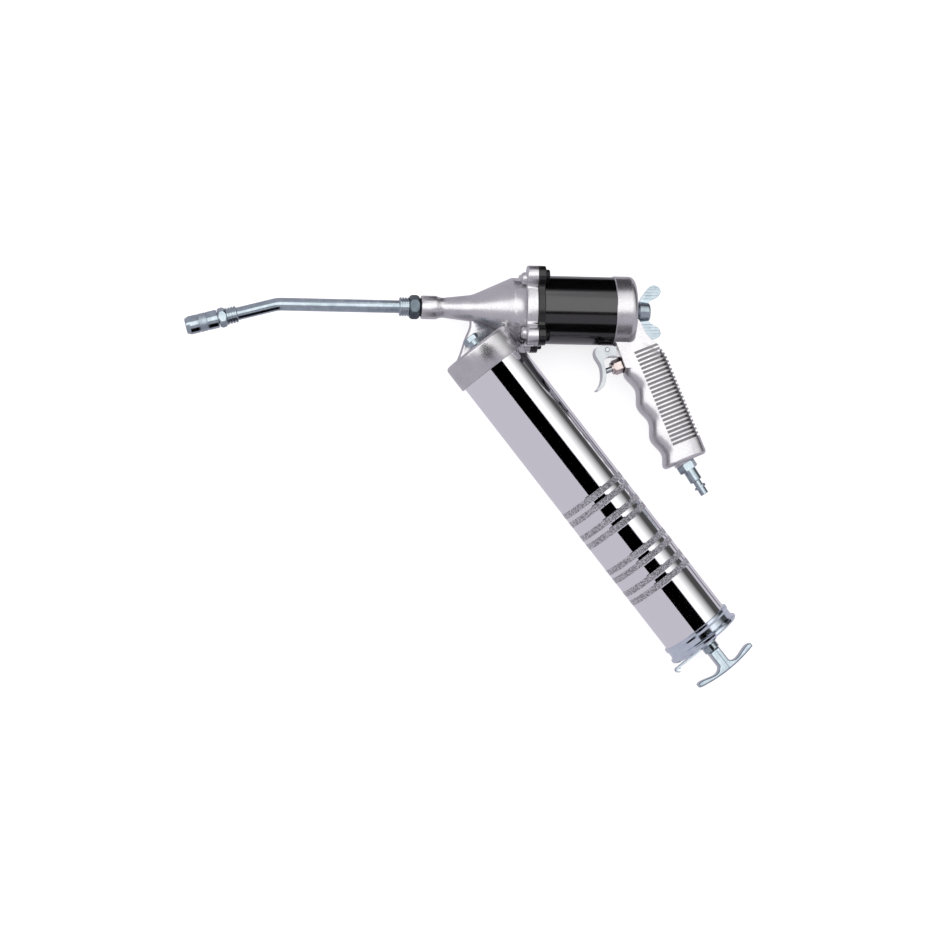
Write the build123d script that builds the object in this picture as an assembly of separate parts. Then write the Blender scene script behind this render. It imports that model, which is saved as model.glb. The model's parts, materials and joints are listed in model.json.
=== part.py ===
from build123d import *
from math import cos, pi, radians, sin, sqrt
import os

# Air-operated grease gun with a pistol grip, lying on its right side.
# Millimetres. The air cylinder lies along X with the grip at the +X end, the barrel slants down
# towards +X and -Y, and +Z is the gun's left side. Everything is modelled in the gun's own frame,
# whose X axis is the cylinder's axis, and set down on the bench when it is written.

# --- clearances ---
FIT = 0.05  # between round pieces that are fixed to each other
RUN = 0.06  # between a shaft and the hole it runs in
THREAD = 0.25  # between the threads of pieces that are turned by hand
SLACK = 0.3  # between round pieces that move past each other

# --- air cylinder and its flange ---
JOINT_X = -6.0  # the plane where the head meets the cylinder
GASKET_T = 0.6
CYL_OD = 55.0
CYL_WALL = 3.0
CYL_ID = CYL_OD - 2 * CYL_WALL
CYL_LEN = 63.0  # from the gasket to the rear cap
SPIGOT_OD = CYL_OD - 2.0  # the turned-down end that enters the rear cap
SPIGOT_LEN = 8.0
LIP_OD = CYL_OD + 3.0  # the lip that the flange ring clamps
LIP_T = 2.0
RING_T = 5.5  # black flange ring
FLANGE_R = LIP_OD / 2 + 0.5
BOLT_CIRCLE_R = CYL_OD / 2 + 6.5
LOBE_R = 7.8
BOLTS = 4
SCREW_R = 2.5
SCREW_HEAD_R = 4.9
SCREW_HEAD_T = 3.4
SCREW_GRIP = 7.0  # thread in the head's lobes

# --- head casting ---
HEAD_FLANGE_T = 8.8
DOME_R = CYL_OD / 2 - 2.3
DOME_FRONT_X = -24.5
NECK_R = 10.8
NECK_X = -56.0
WAIST_R = 7.8
WAIST_X = -81.0
SNOUT_R = 9.45
SNOUT_X = -97.0
SNOUT_LEN = 12.0
WEB_T = 6.5
WEB_ROUND = 2.9

# --- pump ---
PLUNGER_R = 4.0
STROKE = 24.0
PORT_R = 2.2
GLAND_R = 9.0
GLAND_DEPTH = 11.0
GLAND_SEAL_T = 3.0
OUTLET_R = 5.2
SEAT_X = -60.0
SEAT_T = 3.0
SEAT_HOLE_R = 2.2
BALL_R = 3.2

# --- air piston ---
PISTON_T = 10.0
PISTON_GAP = 0.15  # radial, to the cylinder wall
SEAL_T = 3.0
SEAL_DEPTH = 2.5
PISTON_NUT_AF = 13.0
PISTON_NUT_T = 4.0
SPRING_WIRE = 2.4
SPRING_R = 13.0
SPRING_TURNS = 6

# --- rear cap, neck and grip (one casting) ---
CAP_R = CYL_OD / 2 + 0.8
CAP_LEN = 17.6
CAP_WALL = 5.6
CAP_ROUND = 5.0
BOSS_R = 7.0
BOSS_LEN = 2.8
GRIP_LEAN = 22.8  # degrees from square to the cylinder
GRIP_BEHIND, GRIP_BELOW = 17.4, 0.5  # where the grip's axis starts, from the cylinder's rear corner
GRIP_LEN = 102.0
GRIP_FRONT = 13.8
GRIP_BACK = 22.0
GROOVE_PITCH = 28.0
GROOVE_DEPTH = 2.0  # of the finger grooves, above and below the mean
FIRST_BUMP = 19.5
GRIP_HALF_W = 13.5
NECK_HALF_W = 11.0
RIB_PITCH = 3.45
RIB_GAP = 1.75
RIB_DEPTH = 1.4
PANEL_FRONT = 3.3
PANEL_TOP = 4.5
PANEL_FOOT = 13.5  # the plain stretch at the grip's foot
AIRWAY_R = 3.0

# --- trigger and air valve ---
PIVOT_AHEAD, PIVOT_BELOW = 4.6, 4.5  # from the cylinder's rear corner
PIVOT_PIN_R = 1.8
TRIGGER_HALF_W = 7.0
CHEEK_T = 2.0
TRIGGER_WEB_T = 2.6
VALVE_S = 10.5  # where the valve crosses the grip's axis direction
VALVE_BORE_R = 5.0
VALVE_DEPTH = 15.0
VALVE_WASHER_R = 6.6
VALVE_HEX_AF = 11.0
VALVE_HEX_T = 7.2
VALVE_COLLAR_R = 5.0
VALVE_COLLAR_T = 1.5
STEM_R = 2.3
STEM_OUT = 5.6  # how far the stem stands out of the collar
STEM_TRAVEL = 2.2  # when the trigger is pulled

# --- air inlet plug ---
PLUG_BACK, PLUG_PAST = 2.9, 1.1  # from the foot of the grip's axis
PLUG_LEAN = 33.4  # degrees from square to the cylinder
PLUG_HEX_AF = 14.0
PLUG_HEX_T = 6.5
PLUG_THREAD_R = 6.4
PLUG_THREAD_LEN = 10.0
PLUG_BORE_R = 2.4
PLUG_BOSS_R = 8.6
NOSE_R = 3.4
NOSE_LEN = 6.0

# --- wing screw ---
WING_PITCH = 2.0
WING_TURN = 450.0  # degrees that it opens
WING_STEM_R = 3.0
WING_HUB_R = 8.3
WING_HUB_LEN = 10.0
WING_SPAN = 21.8
WING_T = 3.4
WING_RIB_PITCH = 2.3
WING_RIBS = 5
PAD_R = 7.0
PAD_T = 3.0
PAD_TRAVEL = WING_PITCH * WING_TURN / 360

# --- delivery pipe ---
PIPE_OD = 10.3
PIPE_ID = 5.0
PIPE_BEND = 15.0
PIPE_BEND_X = -211.0
PIPE_BEND_R = 25.0
PIPE_LEG = 33.4  # from the bend's corner to the coupler
HEX_AF = 17.0
HEX_LEN = 7.8
WASHER_T = 1.4
WASHER_R = 7.4
RIB_NUT_LEN = 8.2
RIB_NUT_R = PIPE_OD / 2 + 2.45
SOCKET_LEN = 6.0

# --- coupler ---
COLLAR_LEN = 9.0
COLLAR_R = PIPE_OD / 2 + 1.55
COUPLER_HEX_AF = 14.0
COUPLER_HEX_LEN = 6.0
SLEEVE_R = 7.4
SLEEVE_LEN = 26.0
SLEEVE_GAP = 0.6
CHAMBER_R = 5.6
MOUTH_R = 3.35  # for a 6.5 mm grease nipple
JAW_LEN = 11.0
KNURL_FROM_TIP = 10.5
KNURL_LEN = 6.5

# --- grease barrel ---
BARREL_ANGLE = 51.5  # degrees below the cylinder's axis
RING_AHEAD, RING_ABOVE = 21.74, 16.5  # the ring's upper corner, from the joint and the cylinder's edge
CAP_RING_LEN = 22.1
CAP_RING_TOP = 6.0
BARREL_OD = 57.0
CAP_RING_R = BARREL_OD / 2 + 2.5
BARREL_WALL = 1.2
BARREL_LEN = 263.0  # between the head and the end cap
BARREL_GASKET_T = 2.2
BARREL_GAP = 0.1  # between the gasket and the tube
END_CAP_SKIRT = 13.7
END_CAP_R = BARREL_OD / 2 + 3.1
END_CAP_BEAD_R = BARREL_OD / 2 + 1.9
END_CAP_GROOVE_R = BARREL_OD / 2 + 1.0
END_CAP_WALL = 3.0
BUSH_R = 6.5
BUSH_NECK_R = 5.0
BUSH_LEN = 4.6
BUSH_NECK_LEN = 14.0
ROD_R = 4.0
FOLLOWER_R = BARREL_OD / 2 - BARREL_WALL - 1.5
FOLLOWER_T = 3.0
CUP_LEN = 14.0
CUP_T = 2.0
FOLLOWER_SPRING_R = FOLLOWER_R - 4.8
FOLLOWER_SPRING_WIRE = 2.5
FOLLOWER_SPRING_TURNS = 9
LATCH_T = 1.2
LATCH_R = 8.5
LATCH_TILT = 3.0  # degrees that the latch can tilt
HANDLE_STEM_W = 9.4
HANDLE_STEM_LEN = 16.5
HANDLE_BAR_HALF = 27.0
HANDLE_BAR_T = 3.4
HANDLE_DEPTH = 12.0
HANDLE_BOW = 3.0
HANDLE_ROUND = 1.3
HANDLE_SLOT_W, HANDLE_SLOT_DEPTH = 2.6, 1.2  # along the stem, on both faces

# --- grease filler and bleeder ---
BLEED_X = -2.4  # from the middle of the head's top face
BLEED_Z = 12.0
BLEED_HEIGHT = 9.0
BLEED_AF = 12.0
BLEED_THREAD_R = 4.0


# --- helpers ---
def rod(radius, start, end):
    """A plain cylinder along local Z from start to end."""
    return Pos(0, 0, start) * Cylinder(radius, end - start, align=(Align.CENTER, Align.CENTER, Align.MIN))


def tube(outer, inner, start, end):
    return rod(outer, start, end) - rod(inner, start - 1, end + 1)


def hexagon(across_flats, start, end):
    flat = RegularPolygon(across_flats / sqrt(3), 6)
    return Pos(0, 0, start) * extrude(flat, end - start)


def turned(points, rounds=()):
    """A solid turned about local Z from (z, radius) points; rounds are ((z, radius), fillet)."""
    face = make_face(Polyline(*[(radius, z) for z, radius in points], close=True))
    for (z, radius), size in rounds:
        corner = face.vertices().sort_by_distance((radius, z, 0))[0]
        face = fillet(corner, size)
    return revolve(Plane.XZ * face, Axis.Z)


def coil(radius, wire, start, end, turns):
    """A compression spring along local Z that fills start to end."""
    height = end - start - wire
    path = Helix(height / turns, height, radius)
    section = Plane(origin=path @ 0, z_dir=path % 0) * Circle(wire / 2)
    return Pos(0, 0, start + wire / 2) * sweep(section, path=path, is_frenet=True)


def ring_ribs(radius, start, end, count, gap, depth):
    """Grooves to cut round a nut, evenly spaced along it."""
    pitch = (end - start) / count
    cuts = []
    for i in range(1, count):
        middle = start + i * pitch
        cuts.append(tube(radius + 1, radius - depth, middle - gap / 2, middle + gap / 2))
    return cuts


def placed(origin, *points):
    """Points of an outline that are given from an origin."""
    return [(origin.X + x, origin.Y + y) for x, y in points]


def slanted(x, y, angle_down):
    """A plane whose local Z points angle_down degrees below +X, with local Y along +Z."""
    a = radians(angle_down)
    return Plane(origin=(x, y, 0), x_dir=(sin(a), cos(a), 0), z_dir=(cos(a), -sin(a), 0))


# Local Z of each group: the cylinder points to the rear, the barrel to its end cap, the grip to
# its foot, the valve out of the grip, the plug out of its boss and the coupler to its mouth.
AIR = slanted(0, 0, 0)
barrel_slant = radians(BARREL_ANGLE)
head_x = JOINT_X - RING_AHEAD - CAP_RING_R * sin(barrel_slant)
head_y = RING_ABOVE - CYL_OD / 2 - CAP_RING_R * cos(barrel_slant)
BARREL = slanted(head_x, head_y, BARREL_ANGLE)
bend = radians(PIPE_BEND)
COUPLER_X = PIPE_BEND_X - PIPE_LEG * cos(bend)
COUPLER_Y = -PIPE_LEG * sin(bend)
COUPLER = slanted(COUPLER_X, COUPLER_Y, 180 - PIPE_BEND)

lean = radians(GRIP_LEAN)
grip_down = Vector(sin(lean), -cos(lean), 0)
grip_front = Vector(-cos(lean), -sin(lean), 0)
rear_corner = Vector(JOINT_X + GASKET_T + CYL_LEN, -CYL_OD / 2, 0)
pivot = rear_corner + Vector(-PIVOT_AHEAD, -PIVOT_BELOW, 0)
grip_start = rear_corner + Vector(GRIP_BEHIND, -GRIP_BELOW, 0)
GRIP = slanted(grip_start.X, grip_start.Y, 90 - GRIP_LEAN)
plug_seat = grip_start + grip_down * (GRIP_LEN + PLUG_PAST) - grip_front * PLUG_BACK
PLUG = slanted(plug_seat.X, plug_seat.Y, 90 - PLUG_LEAN)
valve_seat = grip_start + grip_down * VALVE_S + grip_front * GRIP_FRONT
VALVE = slanted(valve_seat.X, valve_seat.Y, 180 - GRIP_LEAN)

# Places along the cylinder's axis
cyl_front = JOINT_X + GASKET_T
cyl_rear = JOINT_X + GASKET_T + CYL_LEN
cap_end = cyl_rear + CAP_LEN
chamber_end = cap_end - CAP_WALL
piston_rear = chamber_end - PAD_T - 0.3
piston_front = piston_rear - PISTON_T
dome_rear = JOINT_X - HEAD_FLANGE_T
plunger_tip = SEAT_X + 5.0 + STROKE
port_x = plunger_tip - 5.0

# The valve's bore, deep enough for its spring when the stem is pushed in
valve_bore_end = -VALVE_DEPTH - 5.8 - STEM_TRAVEL

# Places along the barrel's axis, from the head's top face
cavity_top = CAP_RING_TOP
tube_start = cavity_top + BARREL_GASKET_T + BARREL_GAP
cap_start = CAP_RING_LEN + BARREL_LEN
tube_end = cap_start + END_CAP_SKIRT - END_CAP_WALL
skirt_end = cap_start + END_CAP_SKIRT
bush_start = skirt_end + 2.4
latch_start = bush_start + 0.3
bush_head = latch_start + LATCH_T + (LATCH_R + BUSH_R) * sin(radians(LATCH_TILT)) + 0.2
bush_end = bush_head + BUSH_LEN
cavity_r = BARREL_OD / 2 + THREAD
barrel_inner_r = BARREL_OD / 2 - BARREL_WALL

parts = {}


# --- head casting ---
def bolt_places(x):
    """The four flange screws, on the cylinder's axis frame at place x."""
    return [
        Pos(0, 0, x) * Rot(0, 0, 45 + 360 / BOLTS * i) * Pos(BOLT_CIRCLE_R, 0, 0)
        for i in range(BOLTS)
    ]


def lobed_plate(start, end):
    """The flange's outline: a disc with a lobe at each screw, waisted beside the lobes."""
    plate = rod(FLANGE_R, start, end)
    for place in bolt_places(0):
        plate += place * rod(LOBE_R, start, end)
    joints = [e for e in plate.edges().filter_by(Axis.Z)]
    return fillet(joints, 4.0)


def head_casting():
    outside = turned(
        [
            (SNOUT_X, 0),
            (SNOUT_X, SNOUT_R),
            (SNOUT_X + SNOUT_LEN, SNOUT_R),
            (WAIST_X, WAIST_R),
            (NECK_X, NECK_R),
            (DOME_FRONT_X, DOME_R),
            (dome_rear + 1, DOME_R),
            (dome_rear + 1, 0),
        ],
        [
            ((SNOUT_X, SNOUT_R), 1.0),
            ((SNOUT_X + SNOUT_LEN, SNOUT_R), 2.0),
            ((WAIST_X, WAIST_R), 10.0),
            ((NECK_X, NECK_R), 20.0),
            ((DOME_FRONT_X, DOME_R), 3.0),
        ],
    )
    flange = lobed_plate(dome_rear, JOINT_X)
    rim = flange.faces().sort_by(Axis.Z)[0].outer_wire().edges()
    flange = fillet(rim, 1.2)
    body = outside + flange
    for place in bolt_places(0):
        boss = Pos(-3.0, 0, 0) * rod(4.8, dome_rear - 4.5, dome_rear + 1)
        body += place * fillet(boss.edges().sort_by(Axis.Z)[0], 3.0)
    head = AIR * body

    ring = rod(CAP_RING_R, 0, CAP_RING_LEN)
    ring = fillet(ring.edges().sort_by(Axis.Z)[0], 3.0)
    ring = fillet(ring.edges().sort_by(Axis.Z)[-1], 0.6)
    head += BARREL * ring

    centre = Vector(head_x, head_y, 0)
    neck = (NECK_X - 2.2, -8.0)
    edge = Spline(neck, *placed(centre, (-6.2, 14.8), (-9.4, 6.7), (-13.4, -5.7), (-16.6, -13.3)))
    low = placed(centre, (-16.6, -13.3), (-8.0, -17.7), (16.0, -5.7), (22.0, 20.3))
    outline = edge + Polyline(*low, neck)
    web = extrude(make_face(outline), WEB_T / 2, both=True)
    head += fillet(web.edges().filter_by(GeomType.BSPLINE), WEB_ROUND)

    head -= BARREL * rod(cavity_r, cavity_top, CAP_RING_LEN + 5)
    head -= AIR * rod(OUTLET_R, SNOUT_X - 5, SEAT_X)
    head -= AIR * rod(PLUNGER_R + RUN, SEAT_X - 1, JOINT_X + 5)
    head -= AIR * rod(GLAND_R + FIT, JOINT_X - GLAND_DEPTH, JOINT_X + 5)
    port = Plane(origin=(port_x, 0, 0), x_dir=(0, 0, 1), z_dir=(0, -1, 0))
    head -= port * rod(PORT_R, 0, 40)
    for place in bolt_places(0):
        head -= AIR * place * rod(SCREW_R + FIT, JOINT_X - SCREW_GRIP - 0.5, JOINT_X + 5)
    head -= BARREL * Pos(BLEED_X, BLEED_Z, 0) * rod(BLEED_THREAD_R + FIT, -5, cavity_top + 1)
    return head


parts["head_casting"] = head_casting()


# --- snout: check valve ---
def check_valve():
    seat = tube(OUTLET_R - FIT, SEAT_HOLE_R, SEAT_X - SEAT_T, SEAT_X)
    parts["check_seat"] = AIR * seat
    drop = sqrt(BALL_R**2 - SEAT_HOLE_R**2)
    ball_x = SEAT_X - SEAT_T - drop - 0.05
    parts["check_ball"] = Pos(ball_x, 0, 0) * Sphere(BALL_R)
    spring_end = ball_x - BALL_R - 0.2
    parts["check_spring"] = AIR * coil(3.0, 0.8, pipe_adapter_inner() + 0.1, spring_end, 6)


def pipe_adapter_inner():
    """The inner end of the hex adapter's spigot."""
    return SNOUT_X + SNOUT_LEN


check_valve()


# --- delivery pipe and its fittings ---
def delivery_pipe():
    washer_x = SNOUT_X - WASHER_T
    hex_x = washer_x - HEX_LEN
    nut_x = hex_x - RIB_NUT_LEN
    pipe_end = hex_x + SOCKET_LEN
    parts["snout_washer"] = AIR * tube(WASHER_R, OUTLET_R + FIT, washer_x, SNOUT_X)

    adapter = hexagon(HEX_AF, hex_x, washer_x)
    corner = turned(
        [(hex_x - 1, 0), (hex_x - 1, HEX_AF / 2 - 0.6), (hex_x + 2, HEX_AF / 2 + 1.4),
         (washer_x - 2, HEX_AF / 2 + 1.4), (washer_x + 1, HEX_AF / 2 - 0.6), (washer_x + 1, 0)]
    )
    adapter = (adapter & corner) + rod(OUTLET_R - FIT, washer_x - 1, pipe_adapter_inner())
    adapter -= rod(PIPE_ID / 2, hex_x - 1, pipe_adapter_inner() + 1)
    adapter -= rod(PIPE_OD / 2 + FIT, hex_x - 1, pipe_end)
    parts["pipe_hex_adapter"] = AIR * adapter

    nut = tube(RIB_NUT_R, PIPE_OD / 2 + FIT, nut_x, hex_x)
    nut = chamfer(nut.edges().filter_by(GeomType.CIRCLE).sort_by(SortBy.RADIUS)[-2:], 0.6)
    for cut in ring_ribs(RIB_NUT_R, nut_x, hex_x, 4, 0.9, 0.9):
        nut -= cut
    parts["pipe_ribbed_nut"] = AIR * nut

    reach = COLLAR_LEN + 3.0  # into the coupler's hex
    end_x = PIPE_BEND_X - (PIPE_LEG + reach) * cos(bend)
    end_y = -(PIPE_LEG + reach) * sin(bend)
    corners = [(pipe_end - 0.1, 0), (PIPE_BEND_X, 0), (end_x, end_y)]
    path = FilletPolyline(*corners, radius=PIPE_BEND_R)
    start = Plane(origin=(pipe_end - 0.1, 0, 0), z_dir=(-1, 0, 0))
    ring = start * (Circle(PIPE_OD / 2) - Circle(PIPE_ID / 2))
    parts["delivery_pipe"] = sweep(ring, path=path)


delivery_pipe()


# --- coupler ---
def coupler():
    hex_start = COLLAR_LEN
    hex_end = hex_start + COUPLER_HEX_LEN
    sleeve_start = hex_end + SLEEVE_GAP
    tip = sleeve_start + SLEEVE_LEN
    jaw_start = tip - JAW_LEN - 0.2
    spigot_end = sleeve_start + 6.0

    collar = tube(COLLAR_R, PIPE_OD / 2 + FIT, 0, hex_start)
    collar = chamfer(collar.edges().filter_by(GeomType.CIRCLE).sort_by(SortBy.RADIUS)[-2:], 0.6)
    for cut in ring_ribs(COLLAR_R, 0, hex_start, 4, 0.9, 0.8):
        collar -= cut
    parts["coupler_collar_nut"] = COUPLER * collar

    body = hexagon(COUPLER_HEX_AF, hex_start, hex_end)
    flat = COUPLER_HEX_AF / 2
    crown = turned(
        [(hex_start - 1, 0), (hex_start - 1, flat - 0.6), (hex_start + 2, flat + 1.2),
         (hex_end - 2, flat + 1.2), (hex_end + 1, flat - 0.6), (hex_end + 1, 0)]
    )
    body = (body & crown) + rod(5.0, hex_end - 1, spigot_end)
    body -= rod(PIPE_ID / 2, hex_start - 1, spigot_end + 1)
    body -= rod(PIPE_OD / 2 + FIT, hex_start - 1, hex_start + 3.2)
    parts["coupler_hex_adapter"] = COUPLER * body

    sleeve = turned(
        [(sleeve_start, 5.0 + FIT), (sleeve_start, SLEEVE_R - 0.5), (sleeve_start + 0.5, SLEEVE_R),
         (tip - 3.0, SLEEVE_R), (tip, SLEEVE_R - 1.4), (tip, CHAMBER_R - 0.8),
         (tip - 3.0, CHAMBER_R), (spigot_end, CHAMBER_R), (spigot_end, 5.0 + FIT)]
    )
    knurl_end = tip - KNURL_FROM_TIP
    knurl_start = knurl_end - KNURL_LEN
    for place in (knurl_start, knurl_end):
        sleeve -= tube(SLEEVE_R + 1, SLEEVE_R - 0.4, place - 0.4, place + 0.4)
    parts["coupler_sleeve"] = COUPLER * sleeve

    grip_ring = turned(
        [(jaw_start, MOUTH_R), (jaw_start, CHAMBER_R - SLACK), (tip - 3.0, CHAMBER_R - SLACK),
         (tip - 0.2, CHAMBER_R - 0.8 - SLACK), (tip - 0.2, MOUTH_R)]
    )
    for angle in (0, 90):
        grip_ring -= Rot(0, 0, angle) * Pos(0, 0, tip) * Box(20, 0.6, 2 * JAW_LEN + 2)
    parts["coupler_jaws"] = COUPLER * grip_ring

    seal_start = jaw_start - 3.6
    parts["coupler_seal"] = COUPLER * tube(CHAMBER_R - SLACK, 1.6, seal_start, jaw_start - 0.05)
    parts["coupler_spring"] = COUPLER * coil(4.2, 0.7, spigot_end + 0.1, seal_start - 0.1, 2)


coupler()


# --- flange ring, gasket, screws and cylinder ---
def air_cylinder():
    gasket = lobed_plate(JOINT_X, cyl_front) - rod(GLAND_R + 3, JOINT_X - 1, cyl_front + 1)
    ring = lobed_plate(cyl_front, cyl_front + RING_T)
    ring -= rod(CYL_OD / 2 + FIT, cyl_front - 1, cyl_front + RING_T + 1)
    ring -= rod(LIP_OD / 2 + FIT, cyl_front - 1, cyl_front + LIP_T + FIT)
    for place in bolt_places(0):
        gasket -= place * rod(SCREW_R + 0.3, JOINT_X - 1, cyl_front + 1)
        ring -= place * rod(SCREW_R + 0.3, cyl_front - 1, cyl_front + RING_T + 1)
    rim = ring.faces().sort_by(Axis.Z)[-1].outer_wire().edges()
    ring = chamfer(rim, 0.5)
    parts["flange_gasket"] = AIR * gasket
    parts["cylinder_flange_ring"] = AIR * ring

    wall = turned(
        [(cyl_front, CYL_ID / 2), (cyl_front, LIP_OD / 2), (cyl_front + LIP_T, LIP_OD / 2),
         (cyl_front + LIP_T, CYL_OD / 2), (cyl_rear, CYL_OD / 2), (cyl_rear, SPIGOT_OD / 2),
         (cyl_rear + SPIGOT_LEN, SPIGOT_OD / 2), (cyl_rear + SPIGOT_LEN, CYL_ID / 2)]
    )
    parts["air_cylinder"] = AIR * wall

    head_z = cyl_front + RING_T
    screw = rod(SCREW_R, JOINT_X - SCREW_GRIP, head_z + 0.5)
    cap = rod(SCREW_HEAD_R, head_z, head_z + SCREW_HEAD_T)
    cap = fillet(cap.edges().sort_by(Axis.Z)[-1], 1.0)
    cap -= hexagon(5.0, head_z + 1.2, head_z + SCREW_HEAD_T + 1)
    parts["flange_screws"] = AIR * Compound([place * (screw + cap) for place in bolt_places(0)])


air_cylinder()


# --- plunger, gland, piston and return spring ---
def pump():
    gland_front = JOINT_X - GLAND_DEPTH
    seal_rear = gland_front + GLAND_SEAL_T
    parts["plunger_seal"] = AIR * tube(GLAND_R, PLUNGER_R + RUN, gland_front, seal_rear)
    gland_end = cyl_front + 5.0
    gland = tube(GLAND_R, PLUNGER_R + RUN, seal_rear, cyl_front)
    gland += tube(GLAND_R - 1, PLUNGER_R + RUN, cyl_front - 1, gland_end)
    parts["plunger_gland"] = AIR * gland

    nut_start = piston_rear - PISTON_NUT_T
    stub_r = PLUNGER_R - 1
    plunger = rod(PLUNGER_R, plunger_tip, piston_front + 2) + rod(stub_r, piston_front, piston_rear)
    plunger = chamfer(plunger.edges().sort_by(Axis.Z)[0], 0.5)
    parts["pump_plunger"] = AIR * plunger

    piston_r = CYL_ID / 2 - PISTON_GAP
    piston = rod(piston_r, piston_front, piston_rear)
    piston -= rod(PLUNGER_R + FIT, piston_front - 1, piston_front + 2)
    piston -= rod(stub_r + FIT, piston_front - 1, piston_rear + 1)
    piston -= rod(PISTON_NUT_AF / sqrt(3) + 0.4, nut_start, piston_rear + 1)
    middle = (piston_front + piston_rear) / 2
    groove = (middle - SEAL_T / 2, middle + SEAL_T / 2)
    piston -= tube(piston_r + 1, piston_r - SEAL_DEPTH, *groove)
    parts["air_piston"] = AIR * piston
    seal = tube(CYL_ID / 2 - 0.05, piston_r - SEAL_DEPTH, groove[0], groove[1])
    parts["piston_seal"] = AIR * seal
    nut = hexagon(PISTON_NUT_AF, nut_start, piston_rear - 0.2)
    nut -= rod(stub_r + FIT, nut_start - 1, piston_rear + 1)
    parts["piston_nut"] = AIR * nut
    spring = coil(SPRING_R, SPRING_WIRE, cyl_front + 0.2, piston_front - 0.1, SPRING_TURNS)
    parts["return_spring"] = AIR * spring


pump()


# --- rear cap, neck and grip ---
def grip_section(s, inset=0.0):
    """The grip's cross-section at s along its axis, as a face square to it."""
    wave = GROOVE_DEPTH * cos(2 * pi * (s - FIRST_BUMP) / GROOVE_PITCH)
    fade = min(1.0, max(0.0, (s - 6) / 10))
    front = GRIP_FRONT + wave * fade - inset
    top_pull = max(0.0, 1 - (s + 4) / 22)
    back = GRIP_BACK - 10.0 * top_pull**1.6 - inset
    half_w = NECK_HALF_W + (GRIP_HALF_W - NECK_HALF_W) * min(1.0, max(0.0, (s + 2) / 24)) - inset
    centre, half_d = (back - front) / 2, (back + front) / 2
    points = []
    for i in range(16):
        a = 2 * pi * i / 16
        cx, cz = cos(a), sin(a)
        bulge = (abs(cx) ** 3 + abs(cz) ** 3) ** (-1 / 3)
        points.append((centre + half_d * cx * bulge, half_w * cz * bulge))
    # local X of the grip's frame points to the back, local Y to +Z
    return Pos(0, 0, s) * make_face(Spline(*points, periodic=True))


def grip_stations():
    """Places along the grip: four in the neck, four to each finger groove and one at the foot."""
    step = GROOVE_PITCH / 4
    count = int((GRIP_LEN - 4 - FIRST_BUMP) / step) + 1
    return [-4, 1, 6, 12] + [FIRST_BUMP + step * i for i in range(count)] + [GRIP_LEN]


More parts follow.
